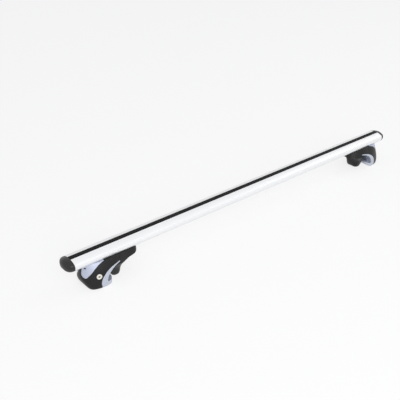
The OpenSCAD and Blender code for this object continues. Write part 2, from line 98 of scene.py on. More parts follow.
tree.links.new(seen.outputs[0], share.inputs[0])
tree.links.new(share.outputs[0], choose.inputs["Fac"])
tree.links.new(matt.outputs[0], choose.inputs[1])
tree.links.new(glow.outputs[0], choose.inputs[2])
tree.links.new(choose.outputs[0], floor_out.inputs["Surface"])
floor.data.materials.append(floor_paint)


def soft_lamp(name, place, aim, size, power):
    """A square area lamp that points from its place to its aim."""
    data = bpy.data.lights.new(name, "AREA")
    data.shape = "SQUARE"
    data.size = size
    data.energy = power
    lamp = bpy.data.objects.new(name, data)
    scene.collection.objects.link(lamp)
    lamp.location = place
    lamp.rotation_euler = (Vector(aim) - Vector(place)).to_track_quat("-Z", "Y").to_euler()
    return lamp


soft_lamp("key_lamp", (-1.3, -2.8, 1.9), (0, 0, 0), 2.2, 62)
soft_lamp("side_lamp", (2.4, -0.6, 1.8), (0, 0, 0.05), 1.8, 8)

# Camera: the photograph's own view, from outboard of the left foot and above. Its angles, place
# and lens were fitted to the photograph, and it has no depth of field.
turn, tilt, roll = math.radians(-39.221), math.radians(29.286), math.radians(-0.458)
camera_place = Vector((-1.200, -1.245, 1.011))
camera_data = bpy.data.cameras.new("photo_camera")
camera_data.sensor_width = 36
camera_data.lens = 59.47
camera = bpy.data.objects.new("photo_camera", camera_data)
scene.collection.objects.link(camera)
camera_back = Vector((math.sin(turn) * math.cos(tilt), -math.cos(turn) * math.cos(tilt), math.sin(tilt)))
level_right = Vector((math.cos(turn), math.sin(turn), 0))
level_up = camera_back.cross(level_right)
camera_right = math.cos(roll) * level_right + math.sin(roll) * level_up
camera_up = camera_back.cross(camera_right)
camera.matrix_world = Matrix((
    (camera_right.x, camera_up.x, camera_back.x, camera_place.x),
    (camera_right.y, camera_up.y, camera_back.y, camera_place.y),
    (camera_right.z, camera_up.z, camera_back.z, camera_place.z),
    (0, 0, 0, 1)))
scene.camera = camera


# Bar: an extruded aluminium oval with a crowned top, a T-slot above and one below, satin
# anodised. Its surface carries the faint die lines of extrusion, which run from end to end.
def new_piece(name, points, faces, body, replaced, paint):
    """An object made of points in millimetres, placed in the frame and tied to its body."""
    mesh = bpy.data.meshes.new(name)
    mesh.from_pydata([(x / 1000, y / 1000, z / 1000) for x, y, z in points], [], faces)
    mesh.validate()
    fixed = bmesh.new()
    fixed.from_mesh(mesh)
    bmesh.ops.recalc_face_normals(fixed, faces=fixed.faces)
    fixed.to_mesh(mesh)
    fixed.free()
    mesh.materials.append(paint)
    piece = bpy.data.objects.new(name, mesh)
    scene.collection.objects.link(piece)
    settle(piece, body, replaced)
    return piece


def settle(piece, body, replaced):
    """Ties a piece to its body and the nodes that it stands for."""
    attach(piece, body)
    if replaced:
        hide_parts(*replaced)


def smooth(piece, degrees):
    """Shades a mesh smooth, but keeps the edges that are sharper than an angle."""
    mesh = piece.data
    mesh.polygons.foreach_set("use_smooth", [True] * len(mesh.polygons))
    mesh.set_sharp_from_angle(angle=math.radians(degrees))
    mesh.update()


def prism(outline, low, high, axis):
    """Points and faces of an outline carried from low to high along X, or along Y from X and Z."""
    count = len(outline)
    if axis == "x":
        points = [(end, a, b) for end in (low, high) for a, b in outline]
    else:
        points = [(a, end, b) for end in (low, high) for a, b in outline]
    faces = [list(range(count)), list(range(2 * count - 1, count - 1, -1))]
    faces += [[i, i + count, (i + 1) % count + count, (i + 1) % count] for i in range(count)]
    return points, faces


def grained(name, colour, rough, metal=0.0, grain=0.5, stretch=(1, 1, 1), relief=0.02,
            tone=0.08, spread=0.06, gloss=0.5, cloud=12.0):
    """A material whose tone, sheen and relief vary with a fine grain and a broad cloud, in mm."""
    paint = bpy.data.materials.new(name)
    paint.use_nodes = True
    tree = paint.node_tree
    shader = tree.nodes["Principled BSDF"]
    shader.inputs["Metallic"].default_value = metal
    shader.inputs["Specular IOR Level"].default_value = gloss
    place = tree.nodes.new("ShaderNodeTexCoord")
    scale = tree.nodes.new("ShaderNodeMapping")
    scale.inputs["Scale"].default_value = stretch
    tree.links.new(place.outputs["Object"], scale.inputs["Vector"])
    fine = tree.nodes.new("ShaderNodeTexNoise")
    fine.inputs["Scale"].default_value = 1000 / grain
    fine.inputs["Detail"].default_value = 3
    tree.links.new(scale.outputs["Vector"], fine.inputs["Vector"])
    broad = tree.nodes.new("ShaderNodeTexNoise")
    broad.inputs["Scale"].default_value = 1000 / cloud
    broad.inputs["Detail"].default_value = 2
    tree.links.new(place.outputs["Object"], broad.inputs["Vector"])
    blend = tree.nodes.new("ShaderNodeMix")
    blend.data_type = "FLOAT"
    blend.inputs["Factor"].default_value = 0.4
    tree.links.new(fine.outputs["Fac"], blend.inputs["A"])
    tree.links.new(broad.outputs["Fac"], blend.inputs["B"])
    tint = tree.nodes.new("ShaderNodeMix")
    tint.data_type = "RGBA"
    dark = [c * (1 - tone) for c in colour]
    light = [min(1, c * (1 + tone)) for c in colour]
    tint.inputs["A"].default_value = (*dark, 1)
    tint.inputs["B"].default_value = (*light, 1)
    tree.links.new(blend.outputs["Result"], tint.inputs["Factor"])
    tree.links.new(tint.outputs["Result"], shader.inputs["Base Color"])
    sheen = tree.nodes.new("ShaderNodeMapRange")
    sheen.inputs["From Min"].default_value = 0.3
    sheen.inputs["From Max"].default_value = 0.7
    sheen.inputs["To Min"].default_value = rough - spread
    sheen.inputs["To Max"].default_value = rough + spread
    tree.links.new(blend.outputs["Result"], sheen.inputs["Value"])
    tree.links.new(sheen.outputs["Result"], shader.inputs["Roughness"])
    bump = tree.nodes.new("ShaderNodeBump")
    bump.inputs["Strength"].default_value = 0.6
    bump.inputs["Distance"].default_value = relief / 1000
    tree.links.new(fine.outputs["Fac"], bump.inputs["Height"])
    tree.links.new(bump.outputs["Normal"], shader.inputs["Normal"])
    return paint


# half width, underside, top, crown radius and edge radius of the bar, in millimetres
bar_half, bar_low, bar_top, crown, end_r = 29.0, 67.0, 97.0, 52.0, 15.0
mid_z = bar_low + end_r
bar_end = 600.0
# where the crown starts beside the strip, and the number of its points
crown_from, crown_steps = 8.5, 14


def crown_height(y):
    """Height of the crowned top at a distance from the bar's middle line."""
    return bar_top - crown + math.sqrt(crown ** 2 - y * y)


def bar_side(steps):
    """Right half of the bar's outline, from beside the strip over the round edge to the underside."""
    # the crown meets the round edge where both are as high, which halving finds
    low_y, high_y = bar_half - end_r, bar_half
    for _ in range(60):
        meet = (low_y + high_y) / 2
        arc_z = mid_z + math.sqrt(max(0, end_r ** 2 - (meet - bar_half + end_r) ** 2))
        if crown_height(meet) < arc_z:
            low_y = meet
        else:
            high_y = meet
    start = math.atan2(crown_height(meet) - mid_z, meet - bar_half + end_r)
    top = [crown_from + (meet - crown_from) * i / crown_steps for i in range(crown_steps)]
    edge = [start - (start + math.pi / 2) * i / steps for i in range(steps + 1)]
    return ([(y, crown_height(y)) for y in top]
            + [(bar_half - end_r + end_r * math.cos(a), mid_z + end_r * math.sin(a)) for a in edge])


# half widths of the strip's seat, the upper slot, both channels and the lower slot
seat_half, slot_half, channel_half, lower_half = 8.1, 5.5, 10.0, 5.0
slot_top, lip, channel_high, chamfer = 95.0, 2.6, 6.0, 0.4
slot_under, lip_over = slot_top - lip, bar_low + lip
bar_right = [(channel_half, slot_under - channel_high), (channel_half, slot_under - chamfer),
             (channel_half - chamfer, slot_under), (slot_half + chamfer, slot_under),
             (slot_half, slot_under + chamfer), (slot_half, slot_top - chamfer),
             (slot_half + chamfer, slot_top), (seat_half - 0.2, slot_top), (seat_half, slot_top + 0.2),
             (seat_half, 96.1), (seat_half + 0.1, 96.3)]
bar_right += bar_side(56)
bar_right += [(lower_half + chamfer, bar_low), (lower_half, bar_low + chamfer),
              (lower_half, lip_over - chamfer), (lower_half + chamfer, lip_over),
              (channel_half - chamfer, lip_over), (channel_half, lip_over + chamfer),
              (channel_half, lip_over + channel_high)]
# the outline runs down the right side into the lower channel and back up the left one
outline = bar_right + [(-y, z) for y, z in bar_right[::-1]]
aluminium = grained("satin_anodised_aluminium", (0.90, 0.906, 0.918), 0.42, metal=0.45, grain=0.35,
                    stretch=(0.004, 1, 1), relief=0.006, tone=0.02, spread=0.05, cloud=60.0)
points = [(x, y, z) for x in (-bar_end, bar_end) for y, z in outline]
count = len(outline)
faces = [[i, i + count, (i + 1) % count + count, (i + 1) % count] for i in range(count)]
# each end is a ladder of quads from the right side to the left one
for base in (0, count):
    faces += [[base + i, base + i + 1, base + count - 2 - i, base + count - 1 - i]
              for i in range(count // 2 - 1)]
bar = new_piece("extruded_bar", points, faces, "bar", ["bar_profile"], aluminium)
smooth(bar, 30)

# Top strip: a soft black rubber infill that closes the T-slot, pushed in along the bar and
# flush with the crown. Its head carries shallow grip ribs from end to end.
strip_half, strip_edge_r, strip_short, strip_steps = 7.95, 0.5, 0.2, 120
rib_half, rib_pitch, rib_deep = 6.3, 1.6, 0.22
head = []
for i in range(strip_steps + 1):
    y = -strip_half + 2 * strip_half * i / strip_steps
    edge = max(0.0, abs(y) - strip_half + strip_edge_r)
    groove = rib_deep * max(0.0, math.cos(2 * math.pi * y / rib_pitch)) ** 4 if abs(y) < rib_half else 0.0
    fall = strip_edge_r * (1 - math.sqrt(max(0.0, 1 - (edge / strip_edge_r) ** 2)))
    head.append((y, crown_height(y) - groove - fall))
stem_half, head_low = 5.4, 95.02
barb = [(stem_half, 92.3), (7.0, 92.3), (4.4, 90.6)]
outline = head + [(strip_half, head_low), (stem_half, head_low)] + barb
outline += [(-y, z) for y, z in barb[::-1]] + [(-stem_half, head_low), (-strip_half, head_low)]
points, faces = prism(outline, -bar_end + strip_short, bar_end - strip_short, "x")
strip_rubber = grained("ribbed_strip_rubber", (0.007, 0.007, 0.0073), 0.6, grain=0.25, relief=0.03,
                       tone=0.25, spread=0.08, gloss=0.14, cloud=30.0)
strip = new_piece("ribbed_top_strip", points, faces, "bar", ["top_strip"], strip_rubber)
smooth(strip, 40)

# End caps: moulded black domes pressed into the bar's ends, soft at every edge. The dome is
# the bar's own oval, drawn in to a rounded nose, with a fine step where it meets the metal.
cap_long, cap_steps = 22.0, 40
cap_plastic = grained("moulded_cap_plastic", (0.014, 0.014, 0.015), 0.34, grain=0.3, relief=0.015,
                      tone=0.15, spread=0.05, gloss=0.4, cloud=8.0)
half_ring = [(0.0, bar_top)] + [(crown_from * i / 6, crown_height(crown_from * i / 6)) for i in range(1, 6)]
half_ring += bar_side(40)
half_ring += [((bar_half - end_r) * (1 - i / 8), bar_low) for i in range(1, 9)]
cap_ring = half_ring[:-1] + [(-y, z) for y, z in half_ring[::-1][:-1]]


def cap_points(sign):
    """Rings of the dome from the bar outwards, and its tip."""
    # each ring's distance from the bar, and its share of the bar's width and height
    rings = [(0.25, 0.985, 0.97), (0.3, 0.995, 0.99), (0.6, 1.0, 1.0)]
    for i in range(1, cap_steps + 1):
        t = math.sin(math.pi / 2 * i / cap_steps)
        x = 0.6 + (cap_long - 0.6) * t
        wide = max(0.0, 1 - t ** 2.25) ** (1 / 2.1)
        tall = max(0.0, 1 - t ** 3.0) ** (1 / 2.3)
        rings.append((x, wide, tall))
    made = []
    for x, wide, tall in rings[:-1]:
        made.append([(sign * (bar_end + x), y * wide, mid_z + (z - mid_z) * tall) for y, z in cap_ring])
    return made, (sign * (bar_end + cap_long), 0.0, mid_z)


def ring_walls(rings, count):
    """Quads between each ring of points and the next one, all of one count."""
    return [[k * count + i, k * count + (i + 1) % count,
             (k + 1) * count + (i + 1) % count, (k + 1) * count + i]
            for k in range(rings - 1) for i in range(count)]


for name, sign in (("left", -1), ("right", 1)):
    rings, tip = cap_points(sign)
    count = len(cap_ring)
    points = [p for one in rings for p in one] + [tip]
    faces = [list(range(count))] + ring_walls(len(rings), count)
    last = (len(rings) - 1) * count
    faces += [[last + i, last + (i + 1) % count, len(points) - 1] for i in range(count)]
    cap = new_piece("domed_cap_" + name, points, faces, "bar", ["end_cap_" + name],
                    cap_plastic)
    smooth(cap, 50)

# Cover: the moulded nylon shell that wraps each foot, from the nose round the heel and up in
# one band to the bar. It is lofted through plan sections, hollow behind, and soft-edged.

# a foot's half width and its reach outboard and inboard of its datum, and the tail's half width and
# corners; its top, its widest height, the plan's middle, the seam of cover and jaw, and the parting gap
half_w, nose_len, tail_len, tail_half_w, tail_r = 44.0, 62.0, 100.0, 30.0, 14.0
rim_z, belly_z, plan_mid, seam_x, gap = 72.0, 30.0, -2.0, 39.0, 0.3
# the hook's ovals in side view: their middle, and the half axes of the outer and the inner one
hook_x, hook_z, hook_a, hook_b, inner_a, inner_b = 40.0, 12.0, 63.0, 43.0, 46.0, 40.0
# each foot's datum along the bar, and 1 as drawn or -1 turned round
feet = {"left": (-516.0, 1), "right": (530.0, -1)}
# half width of a cut that passes both flanks
cut_half = half_w + 4


def rise(z):
    """How far up from the belly to the rim a height lies."""
    return max(0.0, (z - belly_z) / (rim_z - belly_z))


def flank(z):
    """Share of the full width that the flanks have at a height."""
    return 1 - 0.28 * rise(z) ** 1.8 - 0.06 * (max(0.0, 8 - z) / 8) ** 2


def nose(z, inset):
    """Outboard tip of a plan section."""
    return -nose_len + 12 * max(0.0, 1 - z / belly_z) ** 1.8 + 9 * rise(z) ** 1.6 + inset


def nose_half(angle, z, inset):
    """Half width on the outboard side, at an angle from the nose to the widest place."""
    blunt = 2 + 4 * max(0.0, 1 - z / (1.5 * belly_z)) ** 2
    return (half_w - inset) * flank(z) * math.sin(angle) ** (2 / blunt)


def tail_side(x, z, inset):
    """Half width on the inboard side: a wave down to the tail, which ends in round corners."""
    width = tail_half_w - inset
    share = min(1.0, max(0.0, (x - 12) / 62))
    wave = width + (half_w - tail_half_w) * (1 + math.cos(math.pi * share)) / 2
    over = max(0.0, x - (tail_len - inset - tail_r)) / tail_r
    corner = width - tail_r + tail_r * math.sqrt(max(0.0, 1 - over * over))
    return (corner if over > 0 else wave) * (1 - (1 - 0.85 * share) * (1 - flank(z)))


def plan(z, inset, nose_steps=44, tail_steps=56):
    """Closed plan section of a foot at a height."""
    side = []
    for i in range(nose_steps + 1):
        angle = math.pi / 2 * i / nose_steps
        side.append((plan_mid - (plan_mid - nose(z, inset)) * math.cos(angle), nose_half(angle, z, inset)))
    for i in range(1, tail_steps + 1):
        x = plan_mid + (tail_len - inset - plan_mid) * math.sin(math.pi / 2 * i / tail_steps)
        side.append((x, tail_side(x, z, inset)))
    return [(x, -y) for x, y in side] + [(x, y) for x, y in side[:0:-1]]


def scratch(name, points, faces):
    """A closed mesh in millimetres for cutting with, which isn't kept."""
    mesh = bpy.data.meshes.new(name)
    mesh.from_pydata(points, [], faces)
    made = bmesh.new()
    made.from_mesh(mesh)
    bmesh.ops.remove_doubles(made, verts=made.verts, dist=1e-5)
    bmesh.ops.triangulate(made, faces=made.faces)
    bmesh.ops.recalc_face_normals(made, faces=made.faces)
    if made.calc_volume() < 0:
        bmesh.ops.reverse_faces(made, faces=made.faces)
    made.to_mesh(mesh)
    made.free()
    piece = bpy.data.objects.new(name, mesh)
    scene.collection.objects.link(piece)
    return piece


def loft(name, rings):
    """A closed solid through rings of points, the lowest ring first."""
    count = len(rings[0])
    points = [p for one in rings for p in one]
    faces = [list(range(count)), list(range(len(points) - 1, len(points) - count - 1, -1))]
    return scratch(name, points, faces + ring_walls(len(rings), count))


def foot_form(inset, ring_step=1.2):
    """The outer form of a foot, lofted through its plan sections."""
    low, high = inset, rim_z + (2 if inset > 0 else 0)
    levels = int((high - low) / ring_step)
    heights = [low + (high - low) * k / levels for k in range(levels + 1)]
    return loft("foot_form", [[(x, y, z) for x, y in plan(min(z, rim_z), inset)] for z in heights])


def side_cut(outline, half=cut_half):
    """A side-view outline carried across the foot."""
    return scratch("side_cut", *prism(outline, -half, half, "y"))


def block(name, x_from, x_to, z_from, z_to, y_from=-cut_half, y_to=cut_half):
    """A plain box, as wide as a cut through both flanks unless it is told otherwise."""
    outline = [(x_from, z_from), (x_from, z_to), (x_to, z_to), (x_to, z_from)]
    return scratch(name, *prism(outline, y_from, y_to, "y"))


def below(piece, top):
    """Cuts a mesh off level at a height."""
    return carve(piece, "INTERSECT", block("kept_below", -nose_len - 4, tail_len + 4, -5, top))


def turned(radius, low, high, place, lean=None, sides=64):
    """A round cutter from low to high along the Z of a placing matrix."""
    points = [(radius * math.cos(2 * math.pi * i / sides), radius * math.sin(2 * math.pi * i / sides), z)
              for z in (low, high) for i in range(sides)]
    faces = [list(range(sides)), list(range(2 * sides - 1, sides - 1, -1))]
    faces += [[i, i + sides, (i + 1) % sides + sides, (i + 1) % sides] for i in range(sides)]
    matrix = Matrix.Translation(place) @ (lean or Matrix.Identity(4))
    return scratch("turned_cut", [matrix @ Vector(p) for p in points], faces)


def carve(piece, operation, tool):
    """Joins, cuts or crosses a mesh with another one, and drops the other."""
    cut = piece.modifiers.new("carve", "BOOLEAN")
    cut.operation = operation
    cut.object = tool
    cut.solver = "MANIFOLD"
    bake(piece)
    bpy.data.objects.remove(tool)
    return piece


def bake(piece):
    """Turns a scratch mesh and its modifiers into a plain mesh."""
    depsgraph = bpy.context.evaluated_depsgraph_get()
    mesh = bpy.data.meshes.new_from_object(piece.evaluated_get(depsgraph))
    piece.modifiers.clear()
    piece.data = mesh


def soften(piece, voxel, rounds, keep):
    """Rounds every edge of a carved mesh as a mould or a casting does, and keeps a share of its faces."""
    remesh = piece.modifiers.new("soften", "REMESH")
    remesh.mode = "VOXEL"
    remesh.voxel_size = voxel
    ease = piece.modifiers.new("ease", "SMOOTH")
    ease.factor = 0.5
    ease.iterations = rounds
    thin = piece.modifiers.new("thin", "DECIMATE")
    thin.ratio = keep
    bake(piece)


def keep_pair(piece, base, body, replaced, paint):
    """Turns a scratch mesh in millimetres into the pieces of both feet, which share it."""
    mesh = piece.data
    mesh.transform(Matrix.Scale(0.001, 4))
    mesh.materials.clear()
    mesh.materials.append(paint)
    mesh.polygons.foreach_set("use_smooth", [True] * len(mesh.polygons))
    bpy.data.objects.remove(piece)
    made = []
    for side, (x, sign) in feet.items():
        one = bpy.data.objects.new(f"{base}_{side}", mesh)
        scene.collection.objects.link(one)
        half_turn = Matrix.Rotation(0 if sign > 0 else math.pi, 4, "Z")
        one.matrix_world = Matrix.Translation((x / 1000, 0, 0)) @ half_turn
        settle(one, f"{body}_{side}", [f"{n}_{side}" for n in replaced])
        made.append(one)
    return made


def oval(x, z, a, b, start=0.0, end=360.0, steps=120):
    """Points of an upright oval in side view, between two angles in degrees."""
    return [(x + a * math.cos(math.radians(start + (end - start) * i / steps)),
             z + b * math.sin(math.radians(start + (end - start) * i / steps))) for i in range(steps + 1)]


def eased(corners, steps=8):
    """A smooth closed curve through its corners."""
    count = len(corners)
    made = []
    for i in range(count):
        a, b, c, d = (Vector(corners[(i + k - 1) % count]) for k in range(4))
        for s in range(steps):
            t = s / steps
            p = 0.5 * ((2 * b) + (c - a) * t + (2 * a - 5 * b + 4 * c - d) * t * t
                       + (3 * b - a - 3 * c + d) * t ** 3)
            made.append((p.x, p.y))
    return made


def saddle(extra):
    """The bar with a parting gap, as a cutter."""
    grown = []
    for y, z in bar_side(48):
        dy, dz = y - (bar_half - end_r), z - mid_z
        if dy > 0:
            far = math.hypot(dy, dz)
            grown.append((y + extra * dy / far, z + extra * dz / far))
        else:
            grown.append((y, z + extra * (1 if z > mid_z else -1)))
    grown = [(0.0, bar_top + extra)] + grown + [(0.0, bar_low - extra)]
    outline = grown + [(-y, z) for y, z in grown[-2:0:-1]]
    return scratch("saddle", *prism(outline, -160, 160, "x"))


def flank_y(x, z):
    """Half width of the nose at a distance outboard of the datum and a height."""
    return nose_half(math.acos((plan_mid + x) / (plan_mid - nose(z, 0))), z, 0)


trim_curve = eased([(-49.97, 74.16), (-54.5, 64.01), (-57.47, 54.0), (-59.64, 43.99), (-60.14, 38.88),
                    (-59.64, 36.0), (-58.4, 33.84), (-56.48, 33.05), (-54.37, 33.62), (-52.08, 36.0),
                    (-48.48, 40.18), (-42.41, 46.51), (-35.03, 55.01), (-26.97, 61.92), (-18.97, 67.1),
                    (-9.98, 70.56), (1.24, 74.16)], 6)
lock_x, lock_z, lock_yaw = 27.0, 36.0, math.radians(15)
lock_place = Vector((-lock_x, -flank_y(lock_x, lock_z), lock_z))
lock_lean = Matrix.Rotation(-lock_yaw, 4, "Z") @ Matrix.Rotation(math.pi / 2, 4, "X")

black_nylon = grained("fine_grained_black_nylon", (0.0085, 0.0085, 0.0092), 0.42, grain=0.45, relief=0.03,
                      tone=0.2, spread=0.07, gloss=0.3, cloud=14.0)
cover = foot_form(0)
cover_wall, trim_bed, rail_y, rail_half = 2.6, 1.25, 44.3, 22
shell_inside = foot_form(cover_wall)
for s in (-1, 1):
    rail = block("rail", -80, 110, 64, 80, s * rail_y - rail_half, s * rail_y + rail_half)
    carve(shell_inside, "DIFFERENCE", rail)
carve(cover, "DIFFERENCE", shell_inside)
carve(cover, "INTERSECT", block("cover_space", -nose_len - 4, seam_x - gap, -2, rim_z + 4))
carve(cover, "DIFFERENCE", side_cut(oval(hook_x, hook_z, hook_a + gap, hook_b + gap)[:-1]))
carve(cover, "DIFFERENCE", block("under_hook", plan_mid, tail_len, -3, hook_z))
boss = turned(8.9, -12, -1.0, lock_place, lock_lean)
carve(boss, "INTERSECT", foot_form(cover_wall / 2))
carve(cover, "UNION", boss)
carve(cover, "DIFFERENCE", saddle(gap))
soften(cover, 0.5, 4, 0.3)
recess = side_cut(trim_curve)
carve(recess, "DIFFERENCE", below(foot_form(trim_bed), rim_z - trim_bed))
carve(cover, "DIFFERENCE", recess)
ring_seat_r, barrel_hole_r = 7.35, 5.06
carve(cover, "DIFFERENCE", turned(ring_seat_r, -2.4, 10, lock_place, lock_lean))
carve(cover, "DIFFERENCE", turned(barrel_hole_r, -30, 10, lock_place, lock_lean))
for one in keep_pair(cover, "foot_cover", "cover", ["cover"], black_nylon):
    smooth(one, 35)

# Side trims: thin silver-blue painted skins let into the cover on both flanks of the nose,
# flush with it, with a fine shadow line all round. They run over its rim to the bar, and one dark
# sunk pin holds each.
silver_paint = grained("silver_blue_paint", (0.51, 0.55, 0.67), 0.5, metal=0.4, grain=0.12, relief=0.004,
                       tone=0.08, spread=0.05, gloss=0.5, cloud=18.0)
trim_top, trim_deep, shadow_line = 0.02, 1.2, 0.28
pin_x, pin_z, pin_hole_r = 51.7, 59.2, 1.85
trims = below(foot_form(trim_top), rim_z - trim_top)
carve(trims, "DIFFERENCE", below(foot_form(trim_deep), rim_z - trim_deep))
inner_curve = []
for i, (x, z) in enumerate(trim_curve):
    before, after = Vector(trim_curve[i - 1]), Vector(trim_curve[(i + 1) % len(trim_curve)])
    along = (after - before).normalized()
    inner_curve.append((x - shadow_line * along.y, z + shadow_line * along.x))
carve(trims, "INTERSECT", side_cut(inner_curve))
carve(trims, "DIFFERENCE", saddle(gap + 0.05))
for s in (-1, 1):
    lean = Matrix.Rotation(-s * math.pi / 2, 4, "X")
    pin_place = Vector((-pin_x, s * flank_y(pin_x, pin_z), pin_z))
    carve(trims, "DIFFERENCE", turned(pin_hole_r, -12, 12, pin_place, lean))
for one in keep_pair(trims, "flank_trims", "cover", ["side_trims"], silver_paint):
    smooth(one, 35)
    edge = one.modifiers.new("turned_edge", "BEVEL")
    edge.width = 0.00018
    edge.segments = 2
    edge.limit_method = "ANGLE"
    edge.angle_limit = math.radians(50)
    edge.use_clamp_overlap = False

# Foot body: the painted casting. Its wide hook shows as a silver crescent on each flank, the
# lip turns up under the rail, and the core behind carries the bolt and the two foot screws.
cast_paint = grained("silver_blue_casting", (0.54, 0.572, 0.66), 0.42, metal=0.45, grain=0.3, relief=0.02,
                     tone=0.07, spread=0.06, gloss=0.5, cloud=10.0)
low_turn = math.degrees(math.asin(hook_z / hook_b))
outer_turn = math.degrees(math.acos((seam_x - gap - hook_x) / hook_a))
inner_turn = math.degrees(math.acos((seam_x - gap - hook_x) / inner_a))
hook_side = oval(hook_x, hook_z, hook_a, hook_b, outer_turn, 180 + low_turn, 90)
hook_side += [(-12, 0), (-5, 1), (3, 5), (9, 10.5), (12.6, 15.6), (13, 17.4), (12.1, 18.4), (10.6, 18.4),
              (6, 16), (-1, 13.5)]
hook_side += oval(hook_x, hook_z, inner_a, inner_b, 176, inner_turn, 90)
core_side = [(-38, 42), (-38, 65.1), (36, 65.1), (36, 50.7), (0, 39.95), (-14, 29.2)]
core_half, pocket_half, rib = 22, 7, 3
casting = foot_form(0.05)
carve(casting, "INTERSECT", side_cut(hook_side))
for s in (-1, 1):
    corner = [(1, s * 44.4), (4, s * 43.2), (7, s * 41), (9.5, s * 37.8), (11.4, s * 33.5), (12.6, s * 28.5),
              (13.2, s * 22), (30, s * 22), (30, s * 60), (1, s * 60)]
    carve(casting, "DIFFERENCE", loft("lip_corner", [[(x, y, z) for x, y in corner] for z in (-1, 19.5)]))
core = side_cut(core_side, core_half)
carve(core, "DIFFERENCE", side_cut(oval(hook_x, hook_z, inner_a, inner_b)[:-1]))
for s in (-1, 1):
    for x in (-29, 0):
        carve(core, "DIFFERENCE", block("pocket", x - pocket_half, x + pocket_half, 47.1, 55.1,
                                        s * core_half - 11, s * core_half + 11))
carve(casting, "UNION", core)
carve(casting, "UNION", block("ear", -37, -33, 42, 52, -28, -20))
bay = 2 * half_w / 3 - 4
for s in (-1, 0, 1):
    hollow = block("hollow", -nose_len, 2, 8, 35.65, s * bay - (bay - rib) / 2, s * bay + (bay - rib) / 2)
    carve(hollow, "DIFFERENCE", side_cut(oval(hook_x, hook_z, inner_a + 4, inner_b + 4)[:-1]))
    carve(hollow, "DIFFERENCE", side_cut(core_side))
    carve(casting, "DIFFERENCE", hollow)
soften(casting, 0.55, 3, 0.35)
bolt_place, bolt_hole_r = Vector((0, 0, 54.5)), 4.3
along_bar = Matrix.Rotation(math.pi / 2, 4, "Y")
carve(casting, "DIFFERENCE", turned(bolt_hole_r, -40, 42, bolt_place, along_bar))
screw_hole_r, screw_well_r = 3.3, 5.3
for x in (-24, 18):
    carve(casting, "DIFFERENCE", turned(screw_hole_r, 40, 70, Vector((x, 0, 0))))
    carve(casting, "DIFFERENCE", turned(screw_well_r, 10, 62.3, Vector((x, 0, 0))))
keep_pair(casting, "cast_hook", "foot", ["foot_body"], cast_paint)

# Inner jaw: the moulded black half that the bolt draws in. A long tail runs under the bar and
# a rounded claw reaches down inside the hook.
jaw_side = [(39, 72), (90.12, 72), (96.96, 68), (99.4, 65.5), (100, 62), (99.6, 59), (98, 57), (92.02, 53.5),
            (81, 50), (69.98, 48), (64, 45.8), (59.8, 43), (57, 39), (55.2, 35), (54.2, 31), (53.2, 25.5),
            (52.4, 20), (51.2, 15), (49.2, 9.6), (47.2, 6), (44.6, 3.8), (41, 2.8), (36, 2.6), (31, 2.8),
            (26, 3.9), (22.6, 6.6), (20.3, 11.5), (14, 23)]
jaw_side += oval(hook_x, hook_z, inner_a - 4.5, inner_b - 3, 138, 91, 24)
# the claw's height, its reach from and to along the bar, and its half width, ring by ring
claw_rings = [(2.6, 27, 42, 14.5), (3.2, 24, 45, 18), (5, 21.5, 47.6, 20.6), (8, 18.5, 49.4, 22.2),
              (13, 15, 51, 23.6), (20, 11, 52.6, 25), (28, 8, 55.4, 27), (35, 8.5, 59.5, 30),
              (40, 10, 63, 33), (45, 13, 68, 36.5), (50, 18, 72, 39)]
claw_square, claw_levels, claw_sides = 2.6, 40, 120


def between(rings, z):
    """Reach and half width of the claw at a height, eased between its rings."""
    heights = [ring[0] for ring in rings]
    k = max(i for i in range(len(rings) - 1) if heights[i] <= z)
    share = (z - heights[k]) / (heights[k + 1] - heights[k])
    near = [rings[min(max(k + i, 0), len(rings) - 1)] for i in (-1, 0, 1, 2)]
    return [0.5 * (2 * b + (c - a) * share + (2 * a - 5 * b + 4 * c - d) * share ** 2
                   + (3 * b - a - 3 * c + d) * share ** 3) for a, b, c, d in zip(*(one[1:] for one in near))]


claw_loft = []
for k in range(claw_levels + 1):
    z = claw_rings[0][0] + (claw_rings[-1][0] - claw_rings[0][0]) * k / claw_levels
    low_x, high_x, wide = between(claw_rings, min(z, claw_rings[-1][0] - 0.001))
    ring = []
    for i in range(claw_sides):
        angle = 2 * math.pi * i / claw_sides
        c, s = (math.copysign(abs(a) ** (2 / claw_square), a) for a in (math.cos(angle), math.sin(angle)))
        ring.append(((low_x + high_x) / 2 + (high_x - low_x) / 2 * c, wide * s, z))
    claw_loft.append(ring)
claw = loft("claw", claw_loft)
carve(claw, "UNION", block("tail_block", seam_x, 101, 44.9, 90, -46, 46))
jaw = foot_form(0)
carve(jaw, "INTERSECT", side_cut(jaw_side))
carve(jaw, "INTERSECT", claw)
carve(jaw, "DIFFERENCE", saddle(gap))
soften(jaw, 0.55, 8, 0.35)
carve(jaw, "DIFFERENCE", turned(bolt_hole_r, 0, 73.5, bolt_place, along_bar))
guide_place, guide_hole_r, guide_well_r, nut_hole_r = Vector((84, 0, 0)), 2.1, 4.1, 7.6
carve(jaw, "DIFFERENCE", turned(guide_hole_r, 30, 80, guide_place))
carve(jaw, "DIFFERENCE", turned(guide_well_r, 30, 58, guide_place))
flat_up = Matrix.Rotation(math.pi / 6, 4, "Z")
carve(jaw, "DIFFERENCE", turned(nut_hole_r, 38, 47.5, bolt_place, along_bar @ flat_up, 6))
for one in keep_pair(jaw, "claw_jaw", "jaw", ["inner_jaw"], black_nylon):
    smooth(one, 45)


